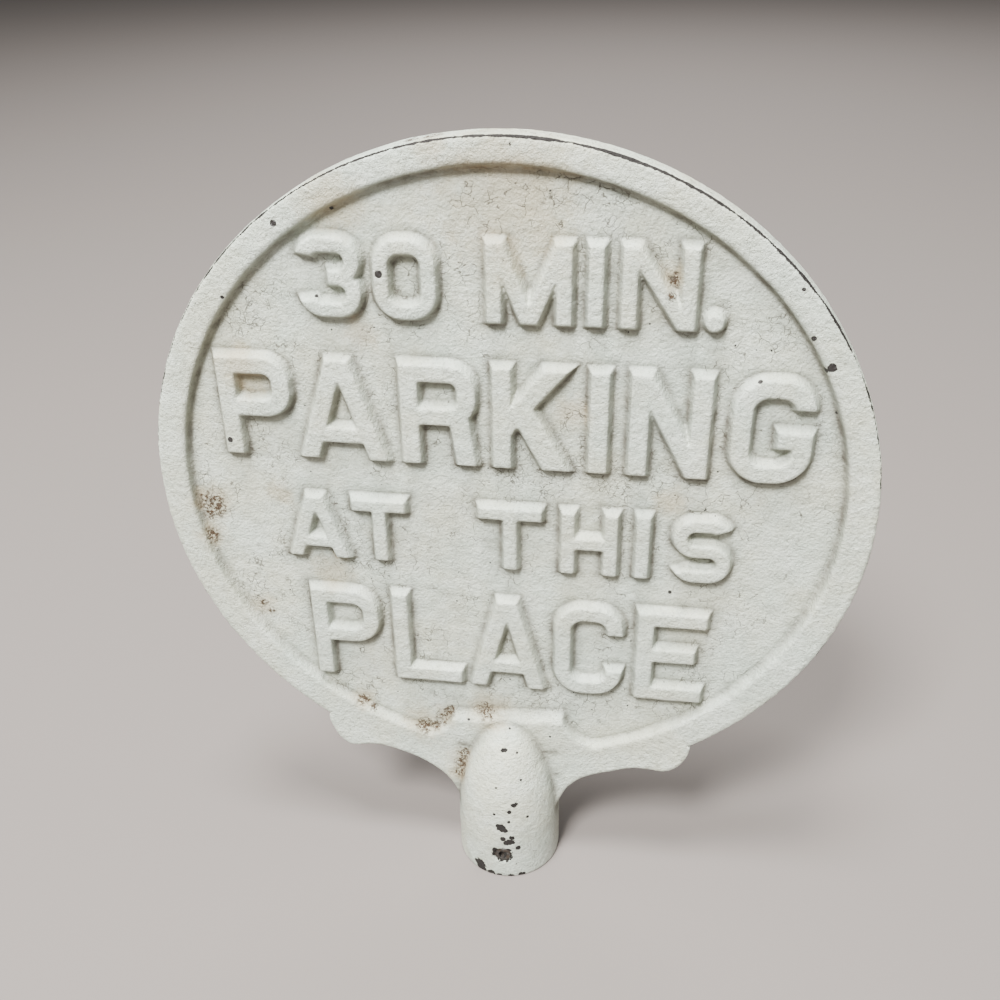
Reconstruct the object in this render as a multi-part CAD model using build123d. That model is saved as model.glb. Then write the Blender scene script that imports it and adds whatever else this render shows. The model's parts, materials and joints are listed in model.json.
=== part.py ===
from build123d import *
import os
from math import cos, radians, sin, tan

os.makedirs("parts", exist_ok=True)

# ---- driving dimensions, in millimetres ----
# Z is up and the front faces -Y. The origin is the centre of the socket's mouth, on the bore's axis.
DISC_RADIUS = 228.6          # an 18 in disc
DISC_HEIGHT = 306.8          # the disc's centre above the socket's mouth
RIM_THICKNESS = 17.5
WEB_THICKNESS = 4.8
FIELD_RADIUS = 209.9         # the rim's inner edge, at its face
FIELD_RISE = 3.2             # the field's circle sits this much above the disc's centre
RIM_EDGE_ROUND = 2.0
RELIEF = (RIM_THICKNESS - WEB_THICKNESS) / 2
RIM_DRAFT = 18.0             # of the rim's inner wall, in degrees
LETTER_DRAFT = 26.0
LETTER_SPREAD = 2.1          # a letter's foot stands out this much round its outline
BOSS_BEVEL = 8.0             # how far the boss's top edge slopes back

SOCKET_RADIUS = 38.1         # 3 in outside
BORE_RADIUS = 31.0           # takes a 2 in nominal pipe, 60.3 mm outside
BORE_DEPTH = 63.5
BORE_END_RADIUS = 19.0
BORE_END_DEPTH = 75.5
DOME_START = 36.0            # the barrel starts to close in here
DOME_TOP = 128.0
DOME_STEP = 15               # between the points of the dome's outline, in degrees

SCREW_HEIGHT = 22.2
SCREW_RADIUS = 6.35          # 1/2 in
SCREW_LENGTH = 5.6
SCREW_CLEARANCE = 0.05
SCREW_TIP = BORE_RADIUS + 0.25
SCREW_CHAMFER = 0.8
SCREW_KEY = 6.35             # across the flats of its hexagon socket
SCREW_KEY_DEPTH = 3.4
HOLE_CHAMFER = 1.0
HOLE_REACH = 5.0             # past the barrel's wall, for cutting

WING_PROUD = 0.5             # the wings stand this much above the rim's faces

HALF_RIM = RIM_THICKNESS / 2
HALF_WEB = WEB_THICKNESS / 2
RIM_SLOPE = RELIEF * tan(radians(RIM_DRAFT))      # how far the rim's inner wall leans
LONG = 400.0                                      # longer than any piece, for cutting
STANDING = (Align.CENTER, Align.CENTER, Align.MIN)

# Letter rows: text, height of the baseline above the disc's centre, letter height, stroke and places.
# The places are each letter's left and right edge, right of the disc's centre. A letter's face is
# slightly inside this outline and its foot is LETTER_SPREAD outside it.
ROWS = (
    (
        "30MIN.", 122.5, 48.5, 9.6,
        ((-120.5, -82.0), (-75.0, -37.5), (-9.4, 40.5), (48.6, 58.2), (67.5, 110.2), (115.0, 126.0)),
    ),
    (
        "PARKING", 27.7, 67.9, 12.2,
        (
            (-179.5, -132.6), (-130.5, -73.0), (-64.0, -16.4), (-7.0, 41.0), (51.8, 64.0), (75.7, 124.0),
            (135.5, 183.5),
        ),
    ),
    (
        "ATTHIS", -47.8, 47.1, 9.6,
        ((-146.5, -104.5), (-101.0, -64.5), (-17.5, 24.5), (36.0, 73.0), (83.6, 93.2), (107.0, 144.5)),
    ),
    (
        "PLACE", -147.4, 73.6, 11.6,
        ((-136.0, -88.5), (-78.9, -31.0), (-25.5, 27.0), (33.1, 80.0), (88.5, 134.5)),
    ),
)


# ---- letter outlines: each stands on y = 0 with its left edge on x = 0 ----
def bar(x0, y0, x1, y1):
    """An upright rectangle from two corners."""
    return Pos((x0 + x1) / 2, (y0 + y1) / 2) * Rectangle(x1 - x0, y1 - y0)


def slant(foot, foot_y, head, head_y, width):
    """A slanted stroke with level ends: foot and head are its left edge's x at each end."""
    corners = ((foot, foot_y), (foot + width, foot_y), (head + width, head_y), (head, head_y))
    return make_face(Polyline(*corners, close=True).edges())


def round_box(x0, y0, x1, y1, corner):
    """A rectangle with four round corners."""
    return Pos((x0 + x1) / 2, (y0 + y1) / 2) * RectangleRounded(x1 - x0, y1 - y0, corner)


def pen(path, width):
    """A line of arcs and straights drawn with a flat pen."""
    return trace(path, line_width=width)


def letter_i(w, h, s):
    return bar(0, 0, w, h)


def letter_t(w, h, s):
    return bar(0, h - s, w, h) + bar((w - s) / 2, 0, (w + s) / 2, h)


def letter_l(w, h, s):
    return bar(0, 0, s, h) + bar(0, 0, w, s)


def letter_e(w, h, s):
    middle = 0.52 * h
    return letter_l(w, h, s) + bar(0, h - s, w, h) + bar(0, middle - s / 2, 0.86 * w, middle + s / 2)


def letter_h(w, h, s):
    return bar(0, 0, s, h) + bar(w - s, 0, w, h) + bar(0, (h - s) / 2, w, (h + s) / 2)


def letter_n(w, h, s):
    reach = 1.08 * s
    return bar(0, 0, s, h) + bar(w - s, 0, w, h) + slant(w - reach, 0, 0, h, reach)


def letter_m(w, h, s):
    reach = 1.08 * s
    left = slant((w - reach) / 2, 0, 0, h, reach)
    right = slant((w - reach) / 2, 0, w - reach, h, reach)
    return bar(0, 0, s, h) + bar(w - s, 0, w, h) + left + right


def letter_a(w, h, s):
    reach = 1.02 * s
    legs = slant(0, 0, w / 2 - 0.62 * s, h, reach) + slant(w - reach, 0, w / 2 + 0.62 * s - reach, h, reach)
    low, high = 0.17 * h, 0.17 * h + 0.92 * s
    lean = (w / 2 - 0.62 * s) / h
    return legs + bar(lean * high + 0.3 * s, low, w - lean * high - 0.3 * s, high)


def letter_k(w, h, s):
    reach = 1.40 * s
    corners = (
        (0, 0), (s, 0), (s, 0.33 * h), (s + 0.07 * w, 0.42 * h), (w - reach, 0), (w, 0), (0.54 * w, 0.61 * h),
        (w, h), (w - reach, h), (s, 0.64 * h), (s, h), (0, h),
    )
    return make_face(Polyline(*corners, close=True).edges())


def bowl(w, h, s, low):
    """The closed loop of a P or an R, from height low up to h."""
    outer = min((h - low) / 2, 0.62 * w) * 0.86
    inner = max(outer - s, 1.5)
    solid = round_box(0, low, w, h, outer) + bar(0, low, w / 2, h)
    hollow = round_box(s, low + s, w - s, h - s, inner) + bar(s, low + s, w / 2, h - s)
    return solid - hollow


def letter_p(w, h, s):
    return bar(0, 0, s, h) + bowl(w, h, s, 0.40 * h)


def letter_r(w, h, s):
    low = 0.40 * h
    leg = slant(w - 1.08 * s, 0, w - 1.45 * s, low + 0.5 * s, 1.08 * s)
    return bar(0, 0, s, h) + bowl(w, h, s, low) + leg


def ring_letter(w, h, s):
    """An upright oval with straight sides, the body of O, C, G and 0."""
    outer = 0.43 * w
    return round_box(0, 0, w, h, outer) - round_box(s, s, w - s, h - s, max(outer - s, 1.5))


def letter_c(w, h, s):
    return ring_letter(w, h, s) - bar(w / 2, 0.34 * h, w + 1, 0.66 * h)


def letter_g(w, h, s):
    shelf = 0.52 * h
    body = ring_letter(w, h, s) - bar(w / 2, shelf, w + 1, 0.72 * h)
    return body + bar(0.56 * w, shelf - s, w, shelf)


def letter_s(w, h, s):
    r = (h - s) / 4
    left, right, low = s / 2, w - s / 2, s / 2
    high, middle = h - s / 2, h / 2
    path = (
        CenterArc((right - r, high - r), r, 22, 68)
        + Line((right - r, high), (left + r, high))
        + CenterArc((left + r, high - r), r, 90, 180)
        + Line((left + r, middle), (right - r, middle))
        + CenterArc((right - r, middle - r), r, -90, 180)
        + Line((right - r, low), (left + r, low))
        + CenterArc((left + r, low + r), r, 202, 68)
    )
    return pen(path, s)


def figure_3(w, h, s):
    r = (h - s) / 4
    left, right, low = s / 2, w - s / 2, s / 2
    high, middle = h - s / 2, h / 2
    waist = Line((right - r, middle), (left + 1.2 * r, middle))
    upper = (
        CenterArc((left + r, high - r), r, 90, 82)
        + Line((left + r, high), (right - r, high))
        + CenterArc((right - r, high - r), r, -90, 180)
    )
    lower = (
        CenterArc((right - r, middle - r), r, -90, 180)
        + Line((right - r, low), (left + r, low))
        + CenterArc((left + r, low + r), r, 188, 82)
    )
    return pen(upper + waist, s) + pen(lower, s)


def full_stop(w, h, s):
    return Pos(w / 2, w / 2) * Circle(w / 2)


GLYPHS = {
    "3": figure_3, "0": ring_letter, "M": letter_m, "I": letter_i, "N": letter_n, ".": full_stop,
    "P": letter_p, "A": letter_a, "R": letter_r, "K": letter_k, "G": letter_g, "T": letter_t,
    "H": letter_h, "S": letter_s, "L": letter_l, "C": letter_c, "E": letter_e,
}
EVEN_LETTERS = "3SC"  # drawn larger, these grow by the same amount all round


# ---- the casting's body ----
def along_y(shape_2d, y0, y1):
    """A flat outline in X and Z made a plate between two depths."""
    return extrude(Pos(0, y1, 0) * (Plane.XZ * shape_2d), y1 - y0, dir=(0, -1, 0))


def relief(shape_2d, draft):
    """A flat outline in X and Z raised from the field's front, its sides drafted by some degrees."""
    return extrude(Pos(0, -HALF_WEB, 0) * (Plane.XZ * shape_2d), RELIEF, dir=(0, -1, 0), taper=draft)


def turned(profile):
    """A half outline of radius and height turned about the bore's axis."""
    return revolve(Plane.XZ * profile, Axis.Z)


def disc_between(radius, rise, y0, y1):
    """A round plate about the disc's centre, raised by rise, between two depths."""
    return along_y(Pos(0, DISC_HEIGHT + rise) * Circle(radius), y0, y1)


def both_sides(front):
    """The front piece and the same piece turned to the back."""
    return front, Rot(0, 0, 180) * front


def make_socket_form():
    """The barrel with its domed top, still solid."""
    height = DOME_TOP - DOME_START
    steps = [radians(angle) for angle in range(0, 90 + DOME_STEP, DOME_STEP)]
    dome = Spline(
        *[(SOCKET_RADIUS * cos(step), DOME_START + height * sin(step)) for step in steps],
        tangents=((0, 1), (-1, 0)),
    )
    sides = Polyline((0, DOME_TOP), (0, 0), (SOCKET_RADIUS, 0), (SOCKET_RADIUS, DOME_START))
    return turned(make_face((sides + dome).edges()))


def make_bore():
    """The blind bore with its coned end."""
    outline = (
        (0, -1), (BORE_RADIUS, -1), (BORE_RADIUS, BORE_DEPTH), (BORE_END_RADIUS, BORE_END_DEPTH),
        (0, BORE_END_DEPTH),
    )
    return turned(make_face(Polyline(*outline, close=True).edges()))


def across(radius, y0, y1):
    """A round bar along Y at the screw's height."""
    return Pos(0, y1, SCREW_HEIGHT) * (Rot(90, 0, 0) * Cylinder(radius, y1 - y0, align=STANDING))


def make_post_socket(form):
    """The barrel with its bore and the screw's hole, which is countersunk from outside."""
    radius = SCREW_RADIUS + SCREW_CLEARANCE
    hole = across(radius, -SOCKET_RADIUS - HOLE_REACH, -BORE_RADIUS + HOLE_REACH)
    cone = Cone(radius, radius + HOLE_REACH, HOLE_REACH, align=STANDING)
    countersink = Pos(0, -SOCKET_RADIUS + HOLE_CHAMFER, SCREW_HEIGHT) * (Rot(90, 0, 0) * cone)
    return form - make_bore() - hole - countersink


def make_field_plate(form):
    """The thin web that carries the letters."""
    return disc_between(FIELD_RADIUS - RIM_SLOPE, FIELD_RISE, -HALF_WEB, HALF_WEB) - form


def make_well():
    """The drafted hollow in front of the field, up to the rim's face."""
    outline = Pos(0, DISC_HEIGHT + FIELD_RISE) * Circle(FIELD_RADIUS)
    return extrude(Pos(0, -HALF_RIM, 0) * (Plane.XZ * outline), RELIEF, dir=(0, 1, 0), taper=RIM_DRAFT)


def make_outer_rim(form, well):
    """The thick ring round the field."""
    disc = disc_between(DISC_RADIUS, 0, -HALF_RIM, HALF_RIM)
    disc = fillet(disc.edges().filter_by(GeomType.CIRCLE), RIM_EDGE_ROUND)
    web = disc_between(FIELD_RADIUS - RIM_SLOPE, FIELD_RISE, -HALF_WEB, HALF_WEB)
    front, rear = both_sides(well)
    return disc - web - front - rear - form


def make_boss(form, well):
    """The raised pad over the socket, in front of the field, flared out to the rim.

    Its top edge leans a little and slopes back, as on the real casting.
    """
    left, left_hollow, left_foot = (-39.5, -175.5), (-46.5, -189.0), (-61.0, -198.5)
    right, right_hollow, right_foot = (40.5, -168.5), (48.5, -187.0), (68.0, -195.5)
    low = -216.0
    edges = (
        Line(left, right)
        + ThreePointArc(right, right_hollow, right_foot)
        + Polyline(right_foot, (right_foot[0], low), (left_foot[0], low), left_foot)
        + ThreePointArc(left_foot, left_hollow, left)
    )
    pad = relief(Pos(0, DISC_HEIGHT) * make_face(edges.edges()), RIM_DRAFT)
    run = Vector(right[0] - left[0], 0, right[1] - left[1]).normalized()
    back = Vector(0, -RELIEF, -BOSS_BEVEL).normalized()
    middle = ((left[0] + right[0]) / 2, -HALF_WEB, DISC_HEIGHT + (left[1] + right[1]) / 2)
    bevel = Plane(origin=middle, x_dir=run, z_dir=back.cross(run)) * Box(LONG, LONG, LONG, align=STANDING)
    return ((pad & well) - bevel) - form


# The bracket's free edges, from the rim down to the socket, right of and above the disc's centre.
WING_TOP = -180.0
LEFT_LOBE = (
    (-133.5, -184.0), (-132.5, -192.0), (-129.5, -202.0), (-124.5, -210.5), (-117.5, -215.0),
    (-109.5, -214.2), (-97.0, -212.6), (-87.0, -214.4), (-77.0, -217.6), (-66.0, -222.2), (-55.0, -229.4),
    (-45.5, -238.6), (-39.8, -248.0), (-36.0, -260.0),
)
RIGHT_LOBE = (
    (131.0, -186.0), (129.8, -196.0), (124.7, -206.0), (116.5, -212.6), (107.0, -213.2), (94.0, -212.6),
    (80.5, -216.4), (66.5, -221.6), (54.5, -228.0), (45.0, -238.0), (39.8, -249.0), (36.0, -261.0),
)


def make_wing(lobe, form):
    """A lobe under the rim and the flared web that joins it to the socket.

    Args:
        lobe: the free edge's points, LEFT_LOBE or RIGHT_LOBE.
        form: the solid barrel, which the wing stops at.
    """
    inside = ((0, lobe[-1][1]), (0, WING_TOP), (lobe[0][0], WING_TOP))
    outline = make_face((Spline(*lobe) + Polyline(lobe[-1], *inside, lobe[0])).edges())
    plate = along_y(Pos(0, DISC_HEIGHT) * outline, -HALF_RIM - WING_PROUD, HALF_RIM + WING_PROUD)
    return plate - disc_between(DISC_RADIUS, 0, -LONG, LONG) - form


def make_set_screw():
    """A headless screw with a flat tip and a hexagon socket, in line with its hole."""
    body = across(SCREW_RADIUS, -SCREW_TIP - SCREW_LENGTH, -SCREW_TIP)
    body = chamfer(body.edges().filter_by(GeomType.CIRCLE), SCREW_CHAMFER)
    key = Plane.XZ * extrude(RegularPolygon(SCREW_KEY / 2, 6, major_radius=False), SCREW_KEY_DEPTH)
    return body - Pos(0, -SCREW_TIP - SCREW_LENGTH + SCREW_KEY_DEPTH, SCREW_HEIGHT) * key


# ---- the lettering ----
def letter_foot(symbol, w, h, s):
    """A letter's outline on the field, all round outside its own."""
    draw = GLYPHS[symbol]
    out = LETTER_SPREAD
    if symbol in EVEN_LETTERS:
        return Pos(-out, -out) * draw(w + 2 * out, h + 2 * out, s + 2 * out)
    return offset(draw(w, h, s), out, kind=Kind.INTERSECTION)


def row_letters():
    """Yields each letter's node name and its solid on the front."""
    for number, (text, baseline, height, stroke, places) in enumerate(ROWS, start=1):
        for index, (symbol, (left, right)) in enumerate(zip(text, places)):
            spelled = {".": "stop", "3": "three", "0": "zero"}.get(symbol, symbol.lower())
            repeat = text[:index].count(symbol) + 1
            name = f"line{number}_{spelled}" + (f"{repeat}" if repeat > 1 else "")
            foot = letter_foot(symbol, right - left, height, stroke)
            yield name, Pos(left, 0, DISC_HEIGHT + baseline) * relief(foot, LETTER_DRAFT)


def main():
    form = make_socket_form()
    well = make_well()
    front_boss, rear_boss = both_sides(make_boss(form, well))
    pieces = {
        "post_socket": make_post_socket(form),
        "field_plate": make_field_plate(form),
        "outer_rim": make_outer_rim(form, well),
        "right_wing": make_wing(RIGHT_LOBE, form),
        "left_wing": make_wing(LEFT_LOBE, form),
        "front_boss": front_boss,
        "rear_boss": rear_boss,
        "set_screw": make_set_screw(),
    }
    for name, letter in row_letters():
        pieces[f"front_{name}"], pieces[f"rear_{name}"] = both_sides(letter)
    for name, shape in pieces.items():
        export_step(shape, f"parts/{name}.step")


main()
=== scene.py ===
"""Looks of a cast-iron post-top parking sign head: old off-white enamel over one lumpy casting.

Each piece of the casting is remeshed from its CAD node and softened. Where it meets its neighbours it has a
skirt just under their surface, so that a soft fillet joins them. All of them share one enamel finish.
"""

from __future__ import annotations

import json
import logging
import math
from dataclasses import dataclass, field
from enum import Enum
from typing import Callable, Iterable

import bmesh
import bpy
from mathutils import Matrix, Vector, kdtree
from mathutils.bvhtree import BVHTree

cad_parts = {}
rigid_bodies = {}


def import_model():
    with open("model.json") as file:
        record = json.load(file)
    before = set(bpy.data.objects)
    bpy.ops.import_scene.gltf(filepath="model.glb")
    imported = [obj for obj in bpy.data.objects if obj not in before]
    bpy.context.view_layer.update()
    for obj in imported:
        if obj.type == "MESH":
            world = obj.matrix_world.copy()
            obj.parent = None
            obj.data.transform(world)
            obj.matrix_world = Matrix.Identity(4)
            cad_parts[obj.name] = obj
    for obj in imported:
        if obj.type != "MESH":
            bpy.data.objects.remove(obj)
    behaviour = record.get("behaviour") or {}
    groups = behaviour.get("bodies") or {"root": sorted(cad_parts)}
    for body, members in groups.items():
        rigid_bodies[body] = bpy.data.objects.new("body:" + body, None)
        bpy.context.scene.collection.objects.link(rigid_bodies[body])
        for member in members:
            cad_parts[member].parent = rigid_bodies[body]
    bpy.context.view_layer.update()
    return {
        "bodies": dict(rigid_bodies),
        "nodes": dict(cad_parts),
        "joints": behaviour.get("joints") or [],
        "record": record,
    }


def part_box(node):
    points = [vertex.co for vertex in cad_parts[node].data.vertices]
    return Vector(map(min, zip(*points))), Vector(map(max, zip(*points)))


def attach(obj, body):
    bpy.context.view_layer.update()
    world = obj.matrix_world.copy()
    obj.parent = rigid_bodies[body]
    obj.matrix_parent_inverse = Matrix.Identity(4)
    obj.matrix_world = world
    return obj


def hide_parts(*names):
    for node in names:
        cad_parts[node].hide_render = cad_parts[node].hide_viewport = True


log = logging.getLogger("sign_head")

MM = 0.001
MERGE = 0.01 * MM  # corners closer than this are one
TOUCH = 0.15 * MM  # a point this close to a face lies on it
SHARP = math.radians(25)  # an edge that turns more than this is sharp

Colour = tuple[float, float, float, float]
Socket = bpy.types.NodeSocket
Value = Socket | float | tuple[float, ...]


class Side(Enum):
    """Which face of the sign a piece lies on; the value is the sign of its Y."""

    FRONT = -1
    REAR = 1


def surface_of(nodes: Iterable[str]) -> BVHTree:
    """The surface of several CAD nodes, for casting rays at.

    Args:
        nodes: the nodes' names.

    Returns:
        The surface's tree.
    """
    shape = bmesh.new()
    for node in nodes:
        shape.from_mesh(bpy.data.objects[node].data)
    tree = BVHTree.FromBMesh(shape)
    shape.free()
    return tree


@dataclass(frozen=True)
class Layout:
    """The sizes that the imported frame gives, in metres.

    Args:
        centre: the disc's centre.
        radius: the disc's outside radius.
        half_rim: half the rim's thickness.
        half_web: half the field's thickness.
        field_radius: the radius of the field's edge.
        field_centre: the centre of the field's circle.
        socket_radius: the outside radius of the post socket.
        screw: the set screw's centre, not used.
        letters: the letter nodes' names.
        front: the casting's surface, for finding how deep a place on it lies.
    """

    centre: Vector
    radius: float
    half_rim: float
    half_web: float
    field_radius: float
    field_centre: Vector
    socket_radius: float
    screw: Vector
    letters: tuple[str, ...]
    front: BVHTree

    @classmethod
    def from_frame(cls, frame: dict) -> Layout:
        """Reads the sizes off the CAD nodes' boxes.


        Returns:
            The layout.
        """
        rim_low, rim_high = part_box("outer_rim")
        web_low, web_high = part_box("field_plate")
        barrel_low, barrel_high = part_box("post_socket")
        screw_low, screw_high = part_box("set_screw")
        radius = (rim_high.x - rim_low.x) / 2
        web_radius = (web_high.x - web_low.x) / 2
        return cls(
            centre=Vector((0, 0, rim_high.z - radius)),
            radius=radius,
            half_rim=rim_high.y,
            half_web=web_high.y,
            field_radius=web_radius,
            field_centre=Vector((0, 0, web_high.z - web_radius)),
            socket_radius=(barrel_high.x - barrel_low.x) / 2,
            screw=(screw_low + screw_high) / 2,
            letters=tuple(sorted(name for name in frame["nodes"] if "_line" in name)),
            front=surface_of(name for name in frame["nodes"] if name != "set_screw"),
        )


# ---------------------------------------------------------------- meshes


def cad_copy(node: str) -> bmesh.types.BMesh:
    """A merged copy of a CAD node's mesh.

    Args:
        node: the node's name.

    Returns:
        A new bmesh, with its doubles merged.
    """
    shape = bmesh.new()
    shape.from_mesh(bpy.data.objects[node].data)
    bmesh.ops.remove_doubles(shape, verts=shape.verts, dist=MERGE)
    return shape


def sunk_copy(node: str, depth: float) -> bmesh.types.BMesh:
    """A merged copy of a CAD node, drawn in below its own surface.

    Args:
        node: the node's name.
        depth: how far each corner moves in.

    Returns:
        A new bmesh.
    """
    shape = cad_copy(node)
    shape.normal_update()
    moves = [(corner, corner.normal * -depth) for corner in shape.verts]
    for corner, move in moves:
        corner.co += move
    return shape


def clip(shape: bmesh.types.BMesh, point: Vector, outward: Vector) -> None:
    """Cuts away what lies beyond a plane and closes the cut.

    Args:
        shape: the bmesh to cut.
        point: a point on the plane.
        outward: the plane's normal, towards the part that goes.
    """
    everything = [*shape.verts, *shape.edges, *shape.faces]
    cut = bmesh.ops.bisect_plane(
        shape, geom=everything, dist=1e-6, plane_co=point, plane_no=outward, clear_outer=True
    )
    rim = [item for item in cut["geom_cut"] if isinstance(item, bmesh.types.BMEdge)]
    open_rim = [edge for edge in rim if edge.is_boundary]
    if open_rim:
        bmesh.ops.triangle_fill(shape, edges=open_rim, use_beauty=True, use_dissolve=False)
    bmesh.ops.recalc_face_normals(shape, faces=shape.faces)


def block(low: Vector, high: Vector) -> bmesh.types.BMesh:
    """A plain box.

    Args:
        low: its lowest corner.
        high: its highest corner.

    Returns:
        A new bmesh.
    """
    shape = bmesh.new()
    bmesh.ops.create_cube(shape, size=1.0)
    bmesh.ops.scale(shape, vec=high - low, verts=shape.verts)
    bmesh.ops.translate(shape, vec=(low + high) / 2, verts=shape.verts)
    return shape


def ring(centre: Vector, inner: float, outer: float, half: float, steps: int = 180) -> bmesh.types.BMesh:
    """A flat ring about a line along Y.

    Args:
        centre: its centre.
        inner: its inside radius.
        outer: its outside radius.
        half: half its thickness.
        steps: how many sides it has.

    Returns:
        A new bmesh.
    """
    shape = bmesh.new()
    corners = [(inner, -half), (outer, -half), (outer, half), (inner, half)]
    loop = [shape.verts.new(centre + Vector((radius, depth, 0))) for radius, depth in corners]
    edges = [shape.edges.new((loop[i - 1], loop[i])) for i in range(4)]
    bmesh.ops.spin(
        shape, geom=[*loop, *edges], cent=centre, axis=(0, 1, 0), angle=math.tau, steps=steps, use_merge=True
    )
    bmesh.ops.remove_doubles(shape, verts=shape.verts, dist=MERGE)
    bmesh.ops.recalc_face_normals(shape, faces=shape.faces)
    return shape


def joined(shapes: Iterable[bmesh.types.BMesh], name: str) -> bpy.types.Mesh:
    """Puts several bmeshes into one mesh and frees them.

    Args:
        shapes: the bmeshes.
        name: the mesh's name.

    Returns:
        The mesh.
    """
    whole = bmesh.new()
    for shape in shapes:
        part = bpy.data.meshes.new("part")
        shape.to_mesh(part)
        shape.free()
        whole.from_mesh(part)
        bpy.data.meshes.remove(part)
    mesh = bpy.data.meshes.new(name)
    whole.to_mesh(mesh)
    whole.free()
    return mesh


@dataclass
class CastSkin:
    """Turns hard-edged solids into one soft-edged, slightly lumpy cast skin.

    Args:
        voxel: the remesh's cell.
        rounds: how many smoothing rounds soften the edges.
        lump: the size and the height of the broad unevenness.
        grain: the size and the height of the finer unevenness.
    """

    voxel: float
    rounds: int
    lump: tuple[float, float] = (17 * MM, 0.45 * MM)
    grain: tuple[float, float] = (4.5 * MM, 0.22 * MM)

    def build(self, name: str, shapes: Iterable[bmesh.types.BMesh]) -> bpy.types.Object:
        """Remeshes, smooths and roughens the joined shapes.

        Args:
            name: the new piece's name.
            shapes: closed bmeshes, which are freed.

        Returns:
            The new object, with its modifiers applied.
        """
        rough = bpy.data.objects.new(name + "_rough", joined(shapes, name + "_rough"))
        bpy.context.scene.collection.objects.link(rough)
        cells = rough.modifiers.new("cells", "REMESH")
        cells.mode = "VOXEL"
        cells.voxel_size = self.voxel
        cells.use_smooth_shade = True
        soft = rough.modifiers.new("soft", "SMOOTH")
        soft.factor = 0.5
        soft.iterations = self.rounds
        for label, (size, height) in (("lump", self.lump), ("grain", self.grain)):
            uneven = rough.modifiers.new(label, "DISPLACE")
            uneven.texture = clouds(label, size)
            uneven.texture_coords = "LOCAL"
            uneven.strength = height
            uneven.mid_level = 0.5
        graph = bpy.context.evaluated_depsgraph_get()
        mesh = bpy.data.meshes.new_from_object(rough.evaluated_get(graph))
        mesh.name = name
        spent = rough.data
        bpy.data.objects.remove(rough)
        bpy.data.meshes.remove(spent)
        skin = bpy.data.objects.new(name, mesh)
        bpy.context.scene.collection.objects.link(skin)
        return skin


def clouds(name: str, size: float) -> bpy.types.Texture:
    """One procedural cloud pattern, made once, for pushing surfaces in and out.

    Args:
        name: the pattern's name.
        size: the size of its clouds.

    Returns:
        The texture.
    """
    found = bpy.data.textures.get(name)
    if found:
        return found
    texture = bpy.data.textures.new(name, "CLOUDS")
    texture.noise_scale = size
    texture.noise_depth = 2
    return texture


# ---------------------------------------------------------------- where grime, painted shade and wear gather


class Gather(Enum):
    """What gathers along a line of the casting; the value is the mesh attribute's name."""

    # grime in the inner corners together with painted shade there, up walls and where faces look down
    DIRT_AND_SHADE = "crevice_grime_and_shade"
    WEAR = "edge"


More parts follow.
